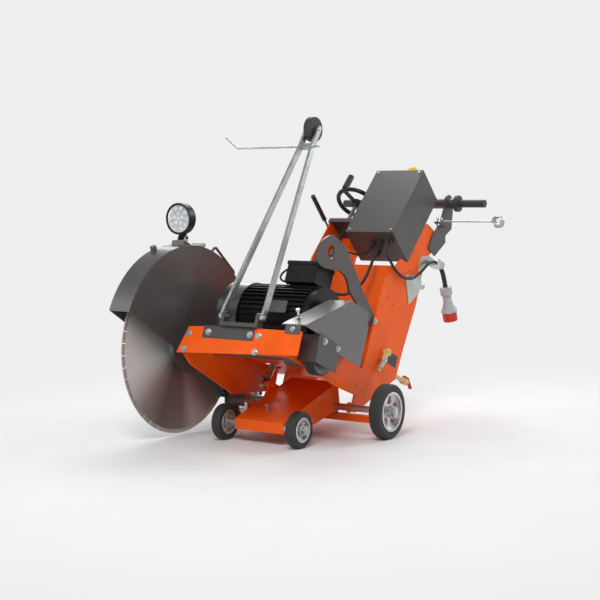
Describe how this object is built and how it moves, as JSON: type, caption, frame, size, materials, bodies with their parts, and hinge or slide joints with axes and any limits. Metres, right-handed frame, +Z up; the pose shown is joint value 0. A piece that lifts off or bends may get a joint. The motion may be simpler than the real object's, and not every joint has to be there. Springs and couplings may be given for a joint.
{
  "type": "masonry saw",
  "caption": "Walk-behind masonry saw with a guarded blade at one side, an electric motor with a belt drive, a tilting frame and a folding guide.",
  "frame": {"origin": "middle of the base of the machine's box, on the floor", "axes": "+Z up, -Y ahead, blade on the -X side, +Y to the operator"},
  "size_m": [0.8985, 1.4845, 1.1722],
  "materials": {
    "orange_paint": "satin",
    "dark_paint": "satin",
    "black_paint": "satin",
    "bright_sheet": "brushed",
    "zinc": "satin",
    "blade_steel": "brushed",
    "cast_hub": "satin",
    "pulley_iron": "machined",
    "tyre_rubber": "matte",
    "black_rubber": "matte",
    "black_plastic": "matte",
    "brass_fitting": "satin",
    "red_plastic": "gloss",
    "green_plastic": "gloss",
    "amber_plastic": "gloss",
    "grey_plastic": "matte"
  },
  "bodies": {
    "chassis": {"front_arm": "orange_paint", "axle_beam": "orange_paint", "axles": "zinc", "chassis_fasteners": "zinc"},
    "front_wheel_left": {"front_tyre_left": "tyre_rubber", "front_hub_left": "cast_hub"},
    "front_wheel_right": {"front_tyre_right": "tyre_rubber", "front_hub_right": "cast_hub"},
    "rear_wheel_left": {"rear_tyre_left": "tyre_rubber", "rear_hub_left": "cast_hub"},
    "rear_wheel_right": {"rear_tyre_right": "tyre_rubber", "rear_hub_right": "cast_hub"},
    "lift_roller": {"lift_roller": "blade_steel"},
    "frame": {"main_frame": "orange_paint", "front_insert": "dark_paint", "guide_bracket": "dark_paint", "tower": "orange_paint", "tower_cap": "dark_paint", "lifting_plate": "dark_paint", "motor_housing": "black_paint", "fan_cowl": "bright_sheet", "terminal_box": "black_paint", "belt_cover_upper": "dark_paint", "belt_cover_lower": "dark_paint", "v_belts": "black_rubber", "bearing_housing": "dark_paint", "guard_rear": "dark_paint", "control_box": "dark_paint", "control_lid": "dark_paint", "amber_dome": "amber_plastic", "cable_glands": "black_plastic", "cable_hooks": "zinc", "water_fitting": "brass_fitting", "fasteners": "zinc", "supply_cord": "black_rubber", "motor_cable": "black_rubber", "lamp_cable": "black_rubber", "supply_plug": "grey_plastic"},
    "spindle": {"blade_spindle": "blade_steel", "driven_pulley": "pulley_iron", "blade": "blade_steel"},
    "rotor": {"rotor": "blade_steel", "drive_pulley": "pulley_iron"},
    "guard_front": {"guard_front": "dark_paint"},
    "lamp": {"lamp_head": "black_paint"},
    "guide": {"guide_frame": "zinc"},
    "guide_wheel": {"guide_wheel": "tyre_rubber"},
    "pointer": {"pointer_rod": "zinc"},
    "handwheel": {"lift_screw": "blade_steel", "handwheel": "black_paint"},
    "handwheel_knob": {"handwheel_knob": "black_plastic"},
    "lift_rod": {"lift_rod": "blade_steel"},
    "handlebar": {"handlebar": "dark_paint", "grips": "black_rubber"},
    "cable_boom": {"cable_boom": "zinc"},
    "brake_lever": {"brake_lever": "black_plastic"},
    "water_valve": {"valve_lever": "red_plastic"},
    "start_button": {"start_button": "green_plastic"},
    "stop_button": {"stop_button": "red_plastic"},
    "emergency_stop": {"emergency_stop": "red_plastic"}
  },
  "joints": [
    {"name": "front_wheel_left_spin", "type": "hinge", "parent": "chassis", "child": "front_wheel_left", "pos_m": [-0.1943, -0.3973, 0.065], "axis": [1, 0, 0], "continuous": true},
    {"name": "front_wheel_right_spin", "type": "hinge", "parent": "chassis", "child": "front_wheel_right", "pos_m": [0.1277, -0.3973, 0.065], "axis": [1, 0, 0], "continuous": true},
    {"name": "rear_wheel_left_spin", "type": "hinge", "parent": "chassis", "child": "rear_wheel_left", "pos_m": [-0.3568, -0.0643, 0.1], "axis": [1, 0, 0], "continuous": true},
    {"name": "rear_wheel_right_spin", "type": "hinge", "parent": "chassis", "child": "rear_wheel_right", "pos_m": [0.2902, -0.0643, 0.1], "axis": [1, 0, 0], "continuous": true},
    {"name": "lift_roller_spin", "type": "hinge", "parent": "chassis", "child": "lift_roller", "pos_m": [-0.1723, -0.18772, 0.17899], "axis": [1, 0, 0], "continuous": true},
    {"name": "frame_tilt", "type": "hinge", "parent": "chassis", "child": "frame", "pos_m": [-0.0333, -0.0643, 0.1], "axis": [1, 0, 0], "range_deg": [0, 24]},
    {"name": "spindle_spin", "type": "hinge", "parent": "frame", "child": "spindle", "pos_m": [-0.0333, -0.40444, 0.33126], "axis": [1, 0, 0], "continuous": true},
    {"name": "rotor_spin", "type": "hinge", "parent": "frame", "child": "rotor", "pos_m": [-0.0333, -0.23399, 0.4328], "axis": [1, 0, 0], "continuous": true},
    {"name": "guard_open", "type": "hinge", "parent": "frame", "child": "guard_front", "pos_m": [-0.3933, -0.31009, 0.69824], "axis": [-1, 0, 0], "range_deg": [0, 60]},
    {"name": "lamp_tilt", "type": "hinge", "parent": "guard_front", "child": "lamp", "pos_m": [-0.3953, -0.38542, 0.72802], "axis": [1, 0, 0], "range_deg": [-25, 25]},
    {"name": "guide_fold", "type": "hinge", "parent": "frame", "child": "guide", "pos_m": [-0.0133, -0.53674, 0.4656], "axis": [1, 0, 0], "range_deg": [0, 112]},
    {"name": "guide_wheel_spin", "type": "hinge", "parent": "guide", "child": "guide_wheel", "pos_m": [-0.0133, -0.09449, 1.12624], "axis": [1, 0, 0], "continuous": true},
    {"name": "pointer_slide", "type": "slide", "parent": "guide", "child": "pointer", "axis": [1, 0, 0], "range_m": [-0.02, 0.15]},
    {"name": "handwheel_turn", "type": "hinge", "parent": "frame", "child": "handwheel", "pos_m": [-0.1723, 0.47943, 0.85316], "axis": [0, 0.7034, 0.7108], "range_deg": [0, 2741.86]},
    {"name": "handwheel_knob_spin", "type": "hinge", "parent": "handwheel", "child": "handwheel_knob", "pos_m": [-0.20035, 0.42466, 0.90736], "axis": [0, 0.7034, 0.7108], "continuous": true},
    {"name": "lift_rod_slide", "type": "slide", "parent": "frame", "child": "lift_rod", "axis": [0, 0.7034, 0.7108], "range_m": [0, 0.06093]},
    {"name": "handlebar_tilt", "type": "hinge", "parent": "frame", "child": "handlebar", "pos_m": [-0.0333, 0.603, 0.71587], "axis": [1, 0, 0], "range_deg": [-15, 20]},
    {"name": "cable_boom_swivel", "type": "hinge", "parent": "handlebar", "child": "cable_boom", "pos_m": [0.1527, 0.59022, 0.78035], "axis": [0, 0.3746, 0.9272], "range_deg": [-80, 80]},
    {"name": "brake_lever_tilt", "type": "hinge", "parent": "frame", "child": "brake_lever", "pos_m": [-0.2038, 0.31492, 0.75029], "axis": [1, 0, 0], "range_deg": [-25, 25]},
    {"name": "water_valve_turn", "type": "hinge", "parent": "frame", "child": "water_valve", "pos_m": [0.1167, 0.36984, 0.14678], "axis": [0, 0.3746, 0.9272], "range_deg": [-90, 0]},
    {"name": "start_button_press", "type": "slide", "parent": "frame", "child": "start_button", "axis": [0, -0.7096, -0.7046], "range_m": [0, 0.004], "stiffness_N_per_m": 900},
    {"name": "stop_button_press", "type": "slide", "parent": "frame", "child": "stop_button", "axis": [0, -0.7096, -0.7046], "range_m": [0, 0.004], "stiffness_N_per_m": 900},
    {"name": "emergency_stop_press", "type": "slide", "parent": "frame", "child": "emergency_stop", "axis": [0, -0.7096, -0.7046], "range_m": [0, 0.006], "stiffness_N_per_m": 900}
  ],
  "couplings": [
    {"joint": "lift_rod_slide", "follows": "frame_tilt", "m_per_rad": 0.14546},
    {"joint": "handwheel_turn", "follows": "frame_tilt", "ratio": 114.24},
    {"joint": "rotor_spin", "follows": "spindle_spin", "ratio": 1.1481}
  ]
}
